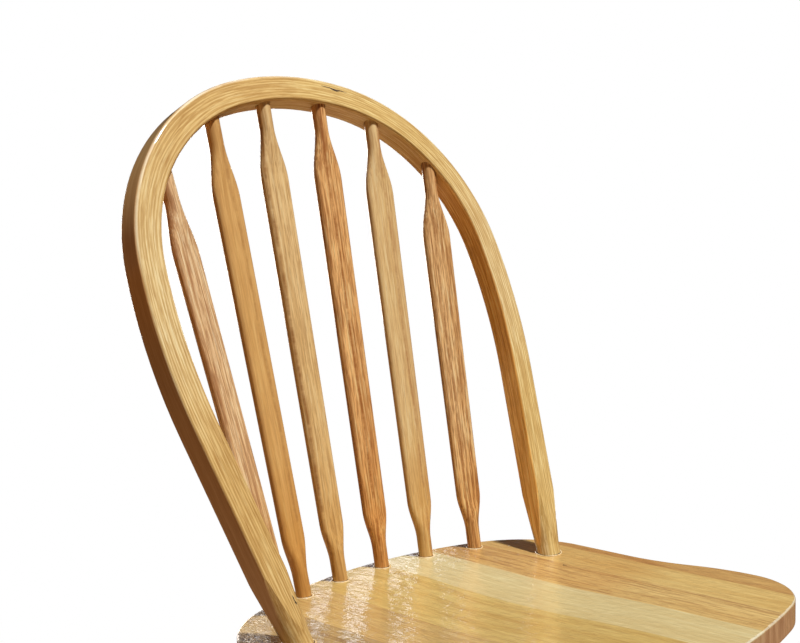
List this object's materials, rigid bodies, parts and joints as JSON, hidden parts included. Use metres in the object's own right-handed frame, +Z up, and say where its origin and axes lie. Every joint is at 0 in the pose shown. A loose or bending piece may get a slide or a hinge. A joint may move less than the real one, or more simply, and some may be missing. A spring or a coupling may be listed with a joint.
{
  "type": "slat back dining chair",
  "caption": "Wooden side chair with a leaning bent bow back, flat-bladed slats, a shaped glued-up seat and splayed turned legs.",
  "frame": {"origin": "middle of the base of the bounding box, on the floor under the seat", "axes": "+X to the sitter's left, +Y to the back of the chair, +Z up; symmetric left to right about the YZ plane but for the widths of the seat's staves and the left end spindle, which stands a few millimetres off its place"},
  "size_m": [0.421, 0.4862, 0.9114],
  "materials": {
    "seat_stave_1": "clear gloss lacquer over light hardwood",
    "seat_stave_2": "clear gloss lacquer over light hardwood",
    "seat_stave_3": "clear gloss lacquer over light hardwood",
    "seat_stave_4": "clear gloss lacquer over light hardwood",
    "seat_stave_5": "clear gloss lacquer over light hardwood",
    "seat_stave_6": "clear gloss lacquer over light hardwood",
    "seat_stave_7": "clear gloss lacquer over light hardwood",
    "seat_stave_8": "clear gloss lacquer over light hardwood",
    "bow": "clear gloss lacquer over light hardwood",
    "spindle_1": "clear gloss lacquer over light hardwood",
    "spindle_2": "clear gloss lacquer over light hardwood",
    "spindle_3": "clear gloss lacquer over light hardwood",
    "spindle_4": "clear gloss lacquer over light hardwood",
    "spindle_5": "clear gloss lacquer over light hardwood",
    "spindle_6": "clear gloss lacquer over light hardwood",
    "leg_front_left": "clear gloss lacquer over light hardwood",
    "leg_front_right": "clear gloss lacquer over light hardwood",
    "leg_rear_left": "clear gloss lacquer over light hardwood",
    "leg_rear_right": "clear gloss lacquer over light hardwood",
    "side_stretcher_left": "clear gloss lacquer over light hardwood",
    "side_stretcher_right": "clear gloss lacquer over light hardwood",
    "cross_stretcher": "clear gloss lacquer over light hardwood",
    "glide_front_left": "moulded nylon",
    "glide_front_right": "moulded nylon",
    "glide_rear_left": "moulded nylon",
    "glide_rear_right": "moulded nylon",
    "glide_nails": "plain steel"
  },
  "bodies": {
    "root": {"seat_stave_1": "seat_stave_1", "seat_stave_2": "seat_stave_2", "seat_stave_3": "seat_stave_3", "seat_stave_4": "seat_stave_4", "seat_stave_5": "seat_stave_5", "seat_stave_6": "seat_stave_6", "seat_stave_7": "seat_stave_7", "seat_stave_8": "seat_stave_8", "bow": "bow", "spindle_1": "spindle_1", "spindle_2": "spindle_2", "spindle_3": "spindle_3", "spindle_4": "spindle_4", "spindle_5": "spindle_5", "spindle_6": "spindle_6", "leg_front_left": "leg_front_left", "leg_front_right": "leg_front_right", "leg_rear_left": "leg_rear_left", "leg_rear_right": "leg_rear_right", "side_stretcher_left": "side_stretcher_left", "side_stretcher_right": "side_stretcher_right", "cross_stretcher": "cross_stretcher", "glide_front_left": "glide_front_left", "glide_front_right": "glide_front_right", "glide_rear_left": "glide_rear_left", "glide_rear_right": "glide_rear_right", "glide_nails": "glide_nails"}
  },
  "joints": []
}
